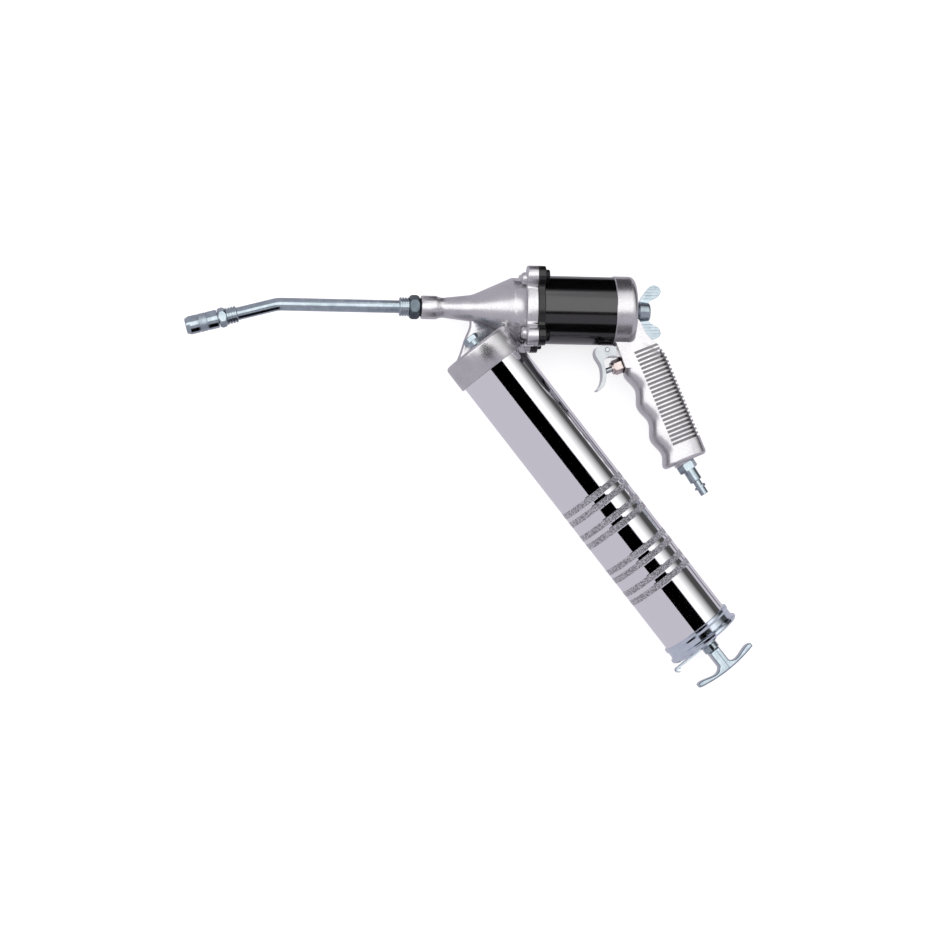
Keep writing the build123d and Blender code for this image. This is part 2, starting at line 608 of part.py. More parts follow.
def handle():
    cap = turned(
        [(cyl_rear, SPIGOT_OD / 2 + FIT), (cyl_rear, CAP_R), (cap_end, CAP_R), (cap_end, 0),
         (chamber_end, 0), (chamber_end, CYL_ID / 2), (cyl_rear + SPIGOT_LEN, CYL_ID / 2),
         (cyl_rear + SPIGOT_LEN, SPIGOT_OD / 2 + FIT)],
        [((cap_end, CAP_R), CAP_ROUND), ((cyl_rear, CAP_R), 0.6)],
    )
    cap += rod(BOSS_R, cap_end - 1, cap_end + BOSS_LEN)
    shell = AIR * cap

    # The neck runs from under the cap up its back to the screw's boss.
    boss_foot = (cap_end + 1.6, 0.4 - BOSS_R)
    nape = placed(grip_start, (5.9, 15.6), (8.6, 10.0), (12.4, 5.6), (19.5, 0.0))
    under = placed(rear_corner, (39.4, -18.5), (9.9, -19.5), (2.2, 0.5), (1.0, 1.3))
    back_edge = Spline(boss_foot, *nape)
    lower = Polyline(nape[-1], *under)
    top = Polyline(under[-1], (cap_end - 2, under[-1][1] + 6.2), (cap_end - 2, boss_foot[1]), boss_foot)
    neck = extrude(make_face(back_edge + lower + top), NECK_HALF_W, both=True)
    neck -= AIR * rod(CAP_R - 1.0, cyl_rear - 5, cap_end - CAP_ROUND)
    shell += neck

    sections = [grip_section(s) for s in grip_stations()]
    grip = loft(sections)
    grip = fillet(grip.faces().sort_by(Axis.Z)[-1].outer_wire().edges(), 3.0)
    inner = loft([grip_section(s, RIB_DEPTH) for s in grip_stations()])
    grooves = []
    for i in range(int((GRIP_LEN - PANEL_TOP - PANEL_FOOT) / RIB_PITCH)):
        middle = PANEL_TOP + (i + 0.5) * RIB_PITCH
        slab = Box(60, 60, RIB_GAP, align=(Align.MIN, Align.CENTER, Align.CENTER))
        grooves.append(Pos(-PANEL_FRONT, 0, middle) * slab)
    cutter = Compound(grooves) - inner
    grip -= cutter
    shell += GRIP * grip

    plug_boss = fillet(rod(PLUG_BOSS_R, -9, 0).edges().sort_by(Axis.Z)[-1], 1.0)
    shell += PLUG * plug_boss

    lug_points = placed(pivot, (-4, 3.2), (9, 3.2), (14, -6), (4, -4.6), (-4, -3.4))
    lug_outline = Polyline(*lug_points, close=True)
    lug = extrude(make_face(lug_outline), TRIGGER_HALF_W - CHEEK_T - SLACK, both=True)
    shell += lug
    shell -= Pos(pivot.X, pivot.Y, 0) * Cylinder(PIVOT_PIN_R + FIT, 40)

    shell -= AIR * rod(SPIGOT_OD / 2 + FIT, cyl_rear - 5, cyl_rear + SPIGOT_LEN)
    shell -= AIR * rod(CYL_ID / 2, cyl_rear, chamber_end)
    shell -= AIR * rod(WING_STEM_R + RUN, chamber_end - 1, cap_end + BOSS_LEN + 1)
    shell -= AIR * rod(PAD_R + SLACK, chamber_end - 1, chamber_end + PAD_TRAVEL + 0.2)
    shell -= VALVE * rod(VALVE_BORE_R + FIT, valve_bore_end, 2)
    shell -= VALVE * rod(VALVE_WASHER_R + SLACK, 0, 8)
    shell -= PLUG * rod(PLUG_THREAD_R + FIT, -PLUG_THREAD_LEN - 1, 1)
    shell -= PLUG * rod(PLUG_BOSS_R, 0, 8)
    chamber = valve_seat - grip_front * (VALVE_DEPTH + 5)
    outlet = plug_seat - Vector(sin(radians(PLUG_LEAN)), -cos(radians(PLUG_LEAN)), 0) * PLUG_THREAD_LEN
    shell -= drilled(outlet, chamber, AIRWAY_R)
    shell -= drilled(chamber, Vector(chamber_end - 3, 4.5 - CYL_ID / 2, 0), AIRWAY_R)
    return shell


def drilled(start, end, radius):
    """A hole from one point to another."""
    run = end - start
    return Plane(origin=start, z_dir=run.normalized()) * rod(radius, 0, run.length)


parts["handle_casting"] = handle()


# --- trigger, pin and air valve ---
def trigger():
    face = Spline(*placed(
        pivot, (-9.0, 1.5), (-8.7, -6.3), (-5.3, -11.8), (-3.9, -18.0),
        (-4.1, -24.5), (-5.7, -29.1), (-9.0, -32.8)))
    rear = Spline(*placed(
        pivot, (-6.7, -33.1), (-2.6, -29.5), (-0.8, -23.5), (-1.8, -14.2),
        (-2.8, -9.5), (-0.5, -6.6), (7.4, -5.4)))
    top = Polyline(*placed(pivot, (7.4, -5.4), (7.4, 1.5), (5.0, 3.3), (-4.0, 3.3), (-9.0, 1.5)))
    tip = Line(face @ 1, rear @ 0)
    cheeks = extrude(make_face(face + tip + rear + top), TRIGGER_HALF_W, both=True)
    channel_half = TRIGGER_HALF_W - CHEEK_T
    back = Spline(*placed(
        pivot, (-6.2, 2.2), (-6.1, -5.6), (-2.7, -11.2), (-1.3, -18.0),
        (-1.6, -25.0), (-3.2, -30.0), (-6.5, -34.0)))
    room = Polyline(*placed(pivot, (-6.5, -34.0), (17.0, -34.0), (17.0, 12.0), (-6.2, 12.0), (-6.2, 2.2)))
    hollow = extrude(make_face(back + room), channel_half, both=True)
    lever = cheeks - hollow
    lever -= Pos(pivot.X, pivot.Y, 0) * Cylinder(PIVOT_PIN_R + RUN, 40)
    parts["trigger"] = lever
    pin = Cylinder(PIVOT_PIN_R, 2 * TRIGGER_HALF_W + 0.6)
    parts["trigger_pin"] = Pos(pivot.X, pivot.Y, 0) * chamfer(pin.edges(), 0.3)


def air_valve():
    washer_t = 0.8
    hex_start = washer_t
    hex_end = hex_start + VALVE_HEX_T
    collar_end = hex_end + VALVE_COLLAR_T
    stem_r = STEM_R
    parts["valve_washer"] = VALVE * tube(VALVE_WASHER_R, VALVE_BORE_R + FIT, 0.02, washer_t)
    body = hexagon(VALVE_HEX_AF, hex_start, hex_end)
    crown = turned([(hex_start, 0), (hex_start, 6.2), (hex_end - 1, 6.2), (hex_end, 5.6), (hex_end, 0)])
    body = (body & crown) + rod(VALVE_COLLAR_R, hex_end - 1, collar_end)
    body += rod(VALVE_BORE_R, -VALVE_DEPTH, hex_start + 1)
    body -= rod(stem_r + RUN, -VALVE_DEPTH - 1, collar_end + 1)
    parts["valve_body"] = VALVE * body
    stem = rod(stem_r, -VALVE_DEPTH - 1.2, collar_end + STEM_OUT)
    stem = fillet(stem.edges().sort_by(Axis.Z)[-1], 1.2)
    stem += rod(3.6, -VALVE_DEPTH - 2.6, -VALVE_DEPTH - 1.2)
    parts["valve_stem"] = VALVE * stem
    parts["valve_seal"] = VALVE * tube(3.9, stem_r + RUN, -VALVE_DEPTH - 1.15, -VALVE_DEPTH - 0.05)
    parts["valve_spring"] = VALVE * coil(3.0, 0.7, valve_bore_end + 0.2, -VALVE_DEPTH - 2.7, 3)


trigger()
air_valve()


# --- air inlet plug ---
def air_inlet():
    hex_end = PLUG_HEX_T
    collar_end = hex_end + 10.5
    neck_end = collar_end + 4.5
    rim_end = neck_end + 2.0
    nose_end = rim_end + NOSE_LEN
    plug = turned(
        [(-PLUG_THREAD_LEN, 0), (-PLUG_THREAD_LEN, PLUG_THREAD_R), (0.5, PLUG_THREAD_R), (0.5, 5.15),
         (collar_end, 5.15), (collar_end, 3.25), (neck_end, 3.25), (neck_end, 4.8), (rim_end, 4.8),
         (rim_end, NOSE_R), (nose_end, NOSE_R), (nose_end, 0)],
        [((collar_end, 5.15), 0.8), ((nose_end, NOSE_R), 0.4)],
    )
    crown = turned([(0, 0), (0, 7.6), (1, 8.2), (hex_end - 1, 8.2), (hex_end, 7.4), (hex_end, 0)])
    plug += hexagon(PLUG_HEX_AF, 0, hex_end) & crown
    plug -= rod(PLUG_BORE_R, -PLUG_THREAD_LEN - 1, nose_end + 1)
    parts["air_inlet_plug"] = PLUG * plug
    parts["inlet_screen"] = PLUG * rod(PLUG_THREAD_R - 0.6, -PLUG_THREAD_LEN - 0.8, -PLUG_THREAD_LEN)


air_inlet()


# --- wing screw and the pad it carries ---
def wing_screw():
    hub_start = cap_end + BOSS_LEN + 0.6
    hub_end = hub_start + WING_HUB_LEN
    hub = turned(
        [(hub_start, 0), (hub_start, WING_HUB_R - 1), (hub_start + 1.4, WING_HUB_R),
         (hub_end, WING_HUB_R - 1), (hub_end, 0)],
        [((hub_end, WING_HUB_R - 1), 2.0)],
    )
    stem = rod(WING_STEM_R, chamber_end - 0.2, hub_start + 1)
    edge = Spline(
        (4.0, hub_start + 0.2), (10.5, hub_start + 2.4), (17.0, hub_start + 6.6),
        (WING_SPAN, hub_start + 12.6), (18.6, hub_start + 18.6), (13.5, hub_start + 17.6),
        (9.4, hub_start + 11.0), (4.0, hub_start + 8.0))
    wing_face = Plane.XZ * make_face(edge + Line((4.0, hub_start + 8.0), (4.0, hub_start + 0.2)))
    wing = extrude(wing_face, WING_T / 2, both=True)
    for i in range(WING_RIBS):
        for side in (-1, 1):
            place = Pos(WING_HUB_R + 2.4 + i * WING_RIB_PITCH, side * WING_T / 2, hub_start)
            wing -= place * Box(1.0, 0.9, 50)
    wing = wing + Rot(0, 0, 180) * wing
    parts["wing_screw"] = AIR * (stem + hub + wing)
    parts["stroke_stop_pad"] = AIR * rod(PAD_R, chamber_end - PAD_T - 0.2, chamber_end - 0.25)


wing_screw()


# --- grease barrel, end cap and rod ---
def grease_barrel():
    r = BARREL_OD / 2
    gasket_start = cavity_top + 0.05
    parts["barrel_gasket"] = BARREL * tube(r - 0.6, r - 5, gasket_start, gasket_start + BARREL_GASKET_T)
    parts["barrel_tube"] = BARREL * tube(r, barrel_inner_r, tube_start + 0.05, tube_end)

    floor_in = tube_end
    shell = turned(
        [(cap_start, r + FIT), (cap_start, END_CAP_BEAD_R), (cap_start + 2.6, END_CAP_BEAD_R),
         (cap_start + 4.4, END_CAP_GROOVE_R), (cap_start + 8.6, END_CAP_GROOVE_R),
         (cap_start + 10.4, END_CAP_R), (cap_start + 12.4, END_CAP_R), (skirt_end, END_CAP_R - 1.6),
         (skirt_end + 2.2, 12.0), (skirt_end + 2.2, BUSH_NECK_R + FIT),
         (floor_in + 0.05, BUSH_NECK_R + FIT), (floor_in + 0.05, r + FIT)],
        [((cap_start, END_CAP_BEAD_R), 0.8), ((cap_start + 2.6, END_CAP_BEAD_R), 1.0),
         ((cap_start + 10.4, END_CAP_R), 0.9)],
    )
    parts["barrel_end_cap"] = BARREL * shell

    neck_start = bush_start - BUSH_NECK_LEN
    bush = tube(BUSH_NECK_R, ROD_R + RUN, neck_start, bush_end)
    bush += tube(BUSH_R, ROD_R + RUN, bush_head, bush_end)
    bush += tube(BUSH_R + 3, ROD_R + RUN, neck_start, floor_in)
    parts["rod_guide_bush"] = BARREL * bush


def follower():
    head_gap = 6.0
    plate_start = tube_start + head_gap + CUP_LEN
    plate_end = plate_start + FOLLOWER_T
    rod_end = bush_end + 6.0
    stub_r = ROD_R - 1
    nut_h = 5.0
    shaft = rod(ROD_R, plate_end, rod_end) + rod(stub_r, plate_start - nut_h - CUP_T, plate_end + 1)
    parts["follower_rod"] = BARREL * shaft
    cup_outer = barrel_inner_r - SLACK
    cup = turned(
        [(plate_start - CUP_LEN, cup_outer - 1.4), (plate_start - CUP_LEN, cup_outer),
         (plate_start, cup_outer - 0.4), (plate_start, stub_r + FIT),
         (plate_start - CUP_T, stub_r + FIT), (plate_start - CUP_T, cup_outer - CUP_T)]
    )
    parts["follower_cup"] = BARREL * cup
    parts["follower_plate"] = BARREL * tube(FOLLOWER_R, stub_r + FIT, plate_start, plate_end)
    nut = hexagon(10.0, plate_start - CUP_T - nut_h + 0.5, plate_start - CUP_T)
    parts["follower_nut"] = BARREL * (nut - rod(stub_r + FIT, plate_start - 30, plate_start))
    spring_end = bush_start - BUSH_NECK_LEN - 0.1
    parts["follower_spring"] = BARREL * coil(
        FOLLOWER_SPRING_R, FOLLOWER_SPRING_WIRE, plate_end + 0.1, spring_end, FOLLOWER_SPRING_TURNS
    )

    stem_start = bush_end + 0.5
    bar_start = stem_start + HANDLE_STEM_LEN
    bar_end = bar_start + HANDLE_BAR_T
    half, w = HANDLE_BAR_HALF, HANDLE_STEM_W / 2
    outer = ThreePointArc((-half, bar_end - HANDLE_BOW), (0, bar_end), (half, bar_end - HANDLE_BOW))
    inner = [(half, bar_start - HANDLE_BOW + 0.4), (14.0, bar_start - 0.7), (w + 3.4, bar_start - 0.5),
             (w, bar_start - 3.6), (w, stem_start)]
    other = [(-x, z) for x, z in inner]
    right = Line((half, bar_end - HANDLE_BOW), inner[0]) + Spline(*inner[:4]) + Line(inner[3], inner[4])
    left = Line((-half, bar_end - HANDLE_BOW), other[0]) + Spline(*other[:4]) + Line(other[3], other[4])
    outline = outer + right + left + Line(inner[4], other[4])
    grip = extrude(Plane.XZ * make_face(outline), HANDLE_DEPTH / 2, both=True)
    faces = grip.faces().sort_by(Axis.Y)
    grip = fillet(faces[0].outer_wire().edges() + faces[-1].outer_wire().edges(), HANDLE_ROUND)
    slot = Pos(0, 0, stem_start + 2) * Box(
        HANDLE_SLOT_W, 2 * HANDLE_SLOT_DEPTH, HANDLE_STEM_LEN, align=(Align.CENTER, Align.CENTER, Align.MIN))
    grip -= Pos(0, HANDLE_DEPTH / 2, 0) * slot + Pos(0, -HANDLE_DEPTH / 2, 0) * slot
    grip -= rod(ROD_R + FIT, stem_start - 1, rod_end + 0.1)
    parts["rod_handle"] = BARREL * grip


def rod_latch():
    z = latch_start
    plate = rod(LATCH_R, z, z + LATCH_T)
    arm = Pos(-20, 0, z) * Box(24, 9, LATCH_T, align=(Align.CENTER, Align.CENTER, Align.MIN))
    curl = Pos(-32, 0, z + 2.2) * Rot(90, 0, 0) * (Cylinder(2.2, 9) - Cylinder(2.2 - LATCH_T, 10))
    curl -= Pos(-28, 0, z + 4.4) * Box(8, 12, 4.4)
    latch = plate + arm + curl - rod(BUSH_NECK_R + 0.6, z - 2, z + LATCH_T + 1)
    parts["rod_latch"] = BARREL * latch


grease_barrel()
follower()
rod_latch()


# --- grease filler and bleeder ---
def bleeder():
    place = BARREL * Pos(BLEED_X, BLEED_Z, 0)
    top = -BLEED_HEIGHT
    parts["bleeder_washer"] = place * tube(6.4, BLEED_THREAD_R + FIT, -1.0, -0.02)
    body = hexagon(BLEED_AF, top, top + 4.2)
    body += rod(4.6, top + 4, -1.0) + rod(BLEED_THREAD_R, -2, cavity_top - 0.5)
    crown = turned([(top - 1.6, 0), (top, 5.4), (top + 1, 7.2), (8, 7.2), (8, 0)])
    body = body & crown
    body -= rod(1.4, top - 1, cavity_top)
    parts["bleeder_valve"] = place * body
    parts["bleeder_button"] = place * rod(1.3, top + 0.6, top + 6)


bleeder()

# --- set down on the bench and write ---
whole = Compound(list(parts.values())).bounding_box()
SET_DOWN = Vector(-(whole.min.X + whole.max.X) / 2, -(whole.min.Y + whole.max.Y) / 2, -whole.min.Z)

os.makedirs("parts", exist_ok=True)
for name, shape in parts.items():
    export_step(Pos(*SET_DOWN) * shape, f"parts/{name}.step")
    print(name, round(shape.volume), "mm3")
print("size", whole.size)
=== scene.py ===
import json
import math

import bpy
from mathutils import Matrix, Vector

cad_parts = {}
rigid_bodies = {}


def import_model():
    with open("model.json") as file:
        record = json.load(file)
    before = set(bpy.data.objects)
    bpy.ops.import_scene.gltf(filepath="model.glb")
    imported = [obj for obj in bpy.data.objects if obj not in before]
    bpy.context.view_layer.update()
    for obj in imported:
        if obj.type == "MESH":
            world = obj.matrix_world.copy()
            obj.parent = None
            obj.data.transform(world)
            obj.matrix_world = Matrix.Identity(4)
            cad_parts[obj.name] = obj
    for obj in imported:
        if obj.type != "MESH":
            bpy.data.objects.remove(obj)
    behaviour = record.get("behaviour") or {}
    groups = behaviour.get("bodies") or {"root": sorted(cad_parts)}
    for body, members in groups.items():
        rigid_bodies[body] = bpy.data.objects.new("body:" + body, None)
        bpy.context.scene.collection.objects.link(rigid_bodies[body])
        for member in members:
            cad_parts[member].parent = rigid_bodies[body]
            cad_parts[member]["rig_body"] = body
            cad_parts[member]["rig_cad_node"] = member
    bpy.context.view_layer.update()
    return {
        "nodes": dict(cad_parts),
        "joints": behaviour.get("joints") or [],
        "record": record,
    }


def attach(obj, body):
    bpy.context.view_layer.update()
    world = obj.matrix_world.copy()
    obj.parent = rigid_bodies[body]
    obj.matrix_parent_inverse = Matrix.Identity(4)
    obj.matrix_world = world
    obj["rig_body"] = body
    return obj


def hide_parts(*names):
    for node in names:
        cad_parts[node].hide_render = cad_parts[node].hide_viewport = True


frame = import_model()
nodes = frame["nodes"]
joints = {joint["name"]: joint for joint in frame["joints"]}
bpy.ops.object.select_all(action="DESELECT")
mm = 0.001

# where the main lines of the gun run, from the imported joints
barrelTop = Vector(joints["barrel_unscrew"]["pos_m"])  # lower edge of the head's ring
barrelWay = Vector(joints["barrel_unscrew"]["axis"]).normalized()
couplerWay = Vector(joints["coupler_grip_slide"]["axis"]).normalized()
couplerMouth = Vector(frame["record"]["mounts"][0]["pos_m"])
axisHeight = joints["wing_screw_turn"]["pos_m"][2]  # of the gun's middle plane above the bench
triggerPinMm = (53, -32, 0)  # in the gun's own frame, along its axis and square to it
setDown = Vector(joints["trigger_pull"]["pos_m"]) - Vector(triggerPinMm) * mm  # that frame on the bench
print("frame loaded:", len(nodes), "nodes")


# colours and nodes

noiseRange = {"From Min": 0.3, "From Max": 0.7}  # where most of a noise's values lie


def linear(hexColour):
    # sRGB hex to the linear colour that Blender works in
    values = [int(hexColour[i:i + 2], 16) / 255 for i in (0, 2, 4)]
    return [v / 12.92 if v <= 0.04045 else ((v + 0.055) / 1.055) ** 2.4 for v in values] + [1.0]


def addNode(tree, kind, inputs=None, **settings):
    # one node with its settings; an input is a value, an sRGB hex colour, or a node or socket to link
    node = tree.nodes.new("ShaderNode" + kind)
    for name, value in settings.items():
        setattr(node, name, value)
    for name, value in (inputs or {}).items():
        if isinstance(value, bpy.types.Node):
            value = next(output for output in value.outputs if output.enabled)
        if isinstance(value, bpy.types.NodeSocket):
            tree.links.new(value, node.inputs[name])
        else:
            node.inputs[name].default_value = linear(value) if isinstance(value, str) else value
    return node


def startMaterial(name):
    # an empty material, and the place on the piece that its patterns read
    material = bpy.data.materials.new(name)
    material.use_nodes = True
    tree = material.node_tree
    tree.nodes.clear()
    return material, tree, addNode(tree, "TexCoord").outputs["Object"]


def alongLine(tree, place, start, way):
    # distance along a direction from a start point
    fromStart = addNode(tree, "VectorMath", {0: place, 1: start}, operation="SUBTRACT")
    return addNode(tree, "VectorMath", {0: fromStart, 1: way}, operation="DOT_PRODUCT")


def alongAndRound(tree, place, start, way):
    # distance along an axis, and the angle round it
    turn = way.to_track_quat("Z", "Y").to_matrix().to_4x4()
    toAxis = (Matrix.Translation(start) @ turn).inverted()
    local = addNode(tree, "Mapping", {"Vector": place, "Location": toAxis.to_translation(),
                                      "Rotation": toAxis.to_euler()})
    parts = addNode(tree, "SeparateXYZ", {"Vector": local})
    angle = addNode(tree, "Math", {0: parts.outputs["Y"], 1: parts.outputs["X"]}, operation="ARCTAN2")
    return parts.outputs["Z"], angle


def diamonds(tree, along, angle, radiusMm, strokeMm):
    # a knurl's two sets of slanted ridges, 0 in the cuts and 1 on the points
    slanted = strokeMm * 1.4  # one stroke measured round the piece
    count = float(round(2 * math.pi * radiusMm / slanted))
    turns = addNode(tree, "Math", {0: angle, 1: count}, operation="MULTIPLY")
    steps = addNode(tree, "Math", {0: along, 1: 2 * math.pi / (slanted * mm)}, operation="MULTIPLY")
    ridges = []
    for slant in ("ADD", "SUBTRACT"):
        phase = addNode(tree, "Math", {0: turns, 1: steps}, operation=slant)
        ridges.append(addNode(tree, "Math", {0: phase}, operation="SINE"))
    both = addNode(tree, "Math", {0: ridges[0], 1: ridges[1]}, operation="MAXIMUM")
    return addNode(tree, "Math", {0: both, 1: 0.5, 2: 0.5}, operation="MULTIPLY_ADD")


def insideBands(tree, along, middlesMm, wideMm):
    # 1 inside any of the bands along the axis, 0 outside
    total = None
    for middle in middlesMm:
        offset = addNode(tree, "Math", {0: along, 1: middle * mm}, operation="SUBTRACT")
        away = addNode(tree, "Math", {0: offset}, operation="ABSOLUTE")
        inside = addNode(tree, "Math", {0: away, 1: wideMm / 2 * mm}, operation="LESS_THAN")
        total = addNode(tree, "Math", {0: total, 1: inside}, operation="MAXIMUM") if total else inside
    return total


def paint(names, material):
    # a kept CAD node takes a better material
    for name in names:
        data = nodes[name].data
        data.materials.clear()
        data.materials.append(material)


# finishes

castFinish = {"light": "dad9db", "dark": "cfcdd0", "grain": "a8a6a9", "grainShare": 0.35, "gritMm": 0.7,
              "patchMm": 14, "roughLow": 0.24, "roughHigh": 0.34, "bump": 0.13, "deepMm": 0.15, "edgeMm": 0.5}
# the grip's ribs; its dark colour and its shade share are painted shade for the gaps between the ribs
gripPanel = {"startMm": (75, -28, 0), "leanDeg": 22.8, "fromMm": 4.5, "pitchMm": 3.45, "ribs": 24,
             "gapMm": 2.0, "frontMm": -3.3, "dark": "59565b", "shade": 0.85}


def ribGapShadeMask(tree, place, panel):
    # 1 in the gaps between the grip's ribs, where the painted shade goes, 0 elsewhere
    lean = math.radians(panel["leanDeg"])
    down = Vector((math.sin(lean), -math.cos(lean), 0))
    back = Vector((-down.y, down.x, 0))
    start = setDown + Vector(panel["startMm"]) * mm
    fromFirst = addNode(tree, "Math", {0: alongLine(tree, place, start, down), 1: panel["fromMm"] * mm},
                        operation="SUBTRACT")
    step = addNode(tree, "Math", {0: fromFirst, 1: panel["pitchMm"] * mm}, operation="DIVIDE")
    part = addNode(tree, "Math", {0: step}, operation="FRACT")
    offset = addNode(tree, "Math", {0: part, 1: 0.5}, operation="SUBTRACT")
    away = addNode(tree, "Math", {0: offset}, operation="ABSOLUTE")
    gap = addNode(tree, "Math", {0: away, 1: panel["gapMm"] / panel["pitchMm"] / 2}, operation="LESS_THAN")
    limits = (addNode(tree, "Math", {0: step, 1: 0.0}, operation="GREATER_THAN"),
              addNode(tree, "Math", {0: step, 1: float(panel["ribs"])}, operation="LESS_THAN"),
              addNode(tree, "Math", {0: alongLine(tree, place, start, back), 1: panel["frontMm"] * mm},
                      operation="GREATER_THAN"))
    for limit in limits:
        gap = addNode(tree, "Math", {0: gap, 1: limit}, operation="MULTIPLY")
    return gap


def castAluminium(name="castAluminium", panel=None):
    # A380 die casting, shot blasted: a fine even grain, soft highlights, slightly warm grey patches
    material, tree, place = startMaterial(name)
    grit = addNode(tree, "TexNoise", {"Vector": place, "Scale": 1 / (castFinish["gritMm"] * mm),
                                      "Detail": 4.0})
    patch = addNode(tree, "TexNoise", {"Vector": place, "Scale": 1 / (castFinish["patchMm"] * mm),
                                       "Detail": 3.0})
    patches = addNode(tree, "MapRange", {"Value": patch, **noiseRange})
    colour = addNode(tree, "Mix", {0: patches, 6: castFinish["light"], 7: castFinish["dark"]},
                     data_type="RGBA")
    grains = addNode(tree, "MapRange", {"Value": grit, **noiseRange, "To Max": castFinish["grainShare"]})
    colour = addNode(tree, "Mix", {0: grains, 6: colour, 7: castFinish["grain"]}, data_type="RGBA")
    if panel:
        # painted shade: the gaps between the ribs are darkened to stand in for the shade that falls in the
        # grooves
        shade = addNode(tree, "Math", {0: ribGapShadeMask(tree, place, panel), 1: panel["shade"]},
                        operation="MULTIPLY")
        colour = addNode(tree, "Mix", {0: shade, 6: colour, 7: panel["dark"]}, data_type="RGBA")
    rough = addNode(tree, "MapRange", {"Value": grit, **noiseRange, "To Min": castFinish["roughLow"],
                                       "To Max": castFinish["roughHigh"]})
    edge = addNode(tree, "Bevel", {"Radius": castFinish["edgeMm"] * mm}, samples=4)
    bump = addNode(tree, "Bump", {"Height": grit, "Strength": castFinish["bump"],
                                  "Distance": castFinish["deepMm"] * mm, "Normal": edge})
    shader = addNode(tree, "BsdfPrincipled", {"Base Color": colour, "Roughness": rough, "Normal": bump,
                                              "Metallic": 1.0})
    addNode(tree, "OutputMaterial", {"Surface": shader})
    return material


def blackAnodised():
    # black anodised aluminium tube: dense black with a satin sheen and faint drawing lines along it
    material, tree, place = startMaterial("blackAnodised")
    lines = addNode(tree, "Mapping", {"Vector": place, "Scale": (60, 1800, 1800)})
    drawn = addNode(tree, "TexNoise", {"Vector": lines, "Scale": 1.0, "Detail": 2.0})
    shade = addNode(tree, "MapRange", {"Value": drawn, **noiseRange})
    colour = addNode(tree, "Mix", {0: shade, 6: "030303", 7: "060506"}, data_type="RGBA")
    rough = addNode(tree, "MapRange", {"Value": drawn, **noiseRange, "To Min": 0.12, "To Max": 0.16})
    bump = addNode(tree, "Bump", {"Height": drawn, "Strength": 0.05, "Distance": 0.05 * mm})
    shader = addNode(tree, "BsdfPrincipled", {"Base Color": colour, "Roughness": rough, "Normal": bump,
                                              "IOR": 1.5, "Specular IOR Level": 0.9})
    addNode(tree, "OutputMaterial", {"Surface": shader})
    return material


def blackEnamel():
    # baked black enamel on the flange ring: glossy with a slight orange peel
    material, tree, place = startMaterial("blackEnamel")
    peel = addNode(tree, "TexNoise", {"Vector": place, "Scale": 1 / (2.2 * mm), "Detail": 3.0})
    shade = addNode(tree, "MapRange", {"Value": peel, **noiseRange})
    colour = addNode(tree, "Mix", {0: shade, 6: "0c0c0d", 7: "181719"}, data_type="RGBA")
    edge = addNode(tree, "Bevel", {"Radius": 0.5 * mm}, samples=4)
    bump = addNode(tree, "Bump", {"Height": peel, "Strength": 0.12, "Distance": 0.1 * mm, "Normal": edge})
    shader = addNode(tree, "BsdfPrincipled", {"Base Color": colour, "Roughness": 0.2, "Normal": bump,
                                              "IOR": 1.5})
    addNode(tree, "OutputMaterial", {"Surface": shader})
    return material


barrelFinish = {"metal": "f1f1f4", "cuts": "b2b1b4", "strokeMm": 1.5, "chatterMm": 1.6, "chatter": 2.2,
                "bandsMm": [129.4, 137.7, 151.6, 160.0, 186.0, 194.2, 207.8, 216.5], "bandWideMm": 5.0,
                "radiusMm": 28.5, "wallMm": 1.2, "raiseMm": 0.12}


def chromeBarrel():
    # bright chrome on a drawn steel tube: a near mirror, with rolled knurl bands that break it up;
    # the strokes are drawn coarser than a real knurl's, so that they show
    material, tree, place = startMaterial("chromeBarrel")
    along, angle = alongAndRound(tree, place, barrelTop, barrelWay)
    bands = insideBands(tree, along, barrelFinish["bandsMm"], barrelFinish["bandWideMm"])
    knurl = diamonds(tree, along, angle, barrelFinish["radiusMm"], barrelFinish["strokeMm"])
    chatter = addNode(tree, "TexNoise", {"Vector": place, "Scale": 1 / (barrelFinish["chatterMm"] * mm),
                                         "Detail": 4.0})
    torn = addNode(tree, "MapRange", {"Value": chatter, **noiseRange, "To Max": barrelFinish["chatter"]})
    rolled = addNode(tree, "Math", {0: knurl, 1: torn}, operation="ADD")
    height = addNode(tree, "Math", {0: rolled, 1: bands}, operation="MULTIPLY")
    pits = addNode(tree, "MapRange", {"Value": chatter, "From Min": 0.42, "From Max": 0.6})
    pitsInBands = addNode(tree, "Math", {0: bands, 1: pits}, operation="MULTIPLY")
    colour = addNode(tree, "Mix", {0: pitsInBands, 6: barrelFinish["metal"], 7: barrelFinish["cuts"]},
                     data_type="RGBA")
    haze = addNode(tree, "TexNoise", {"Vector": place, "Scale": 1 / (25 * mm), "Detail": 3.0})
    clouded = addNode(tree, "MapRange", {"Value": haze, **noiseRange, "To Max": 0.02})
    rougher = addNode(tree, "Math", {0: bands, 1: 0.1, 2: 0.04}, operation="MULTIPLY_ADD")
    rough = addNode(tree, "Math", {0: rougher, 1: clouded}, operation="ADD")
    ripple = addNode(tree, "TexNoise", {"Vector": place, "Scale": 1 / (40 * mm), "Detail": 1.0})
    waves = addNode(tree, "Bump", {"Height": ripple, "Strength": 0.05, "Distance": 0.3 * mm})
    bump = addNode(tree, "Bump", {"Height": height, "Strength": 1.0, "Distance": 0.5 * mm, "Normal": waves})
    shader = addNode(tree, "BsdfPrincipled", {"Base Color": colour, "Roughness": rough, "Normal": bump,
                                              "Metallic": 1.0})
    addNode(tree, "OutputMaterial", {"Surface": shader})
    return material


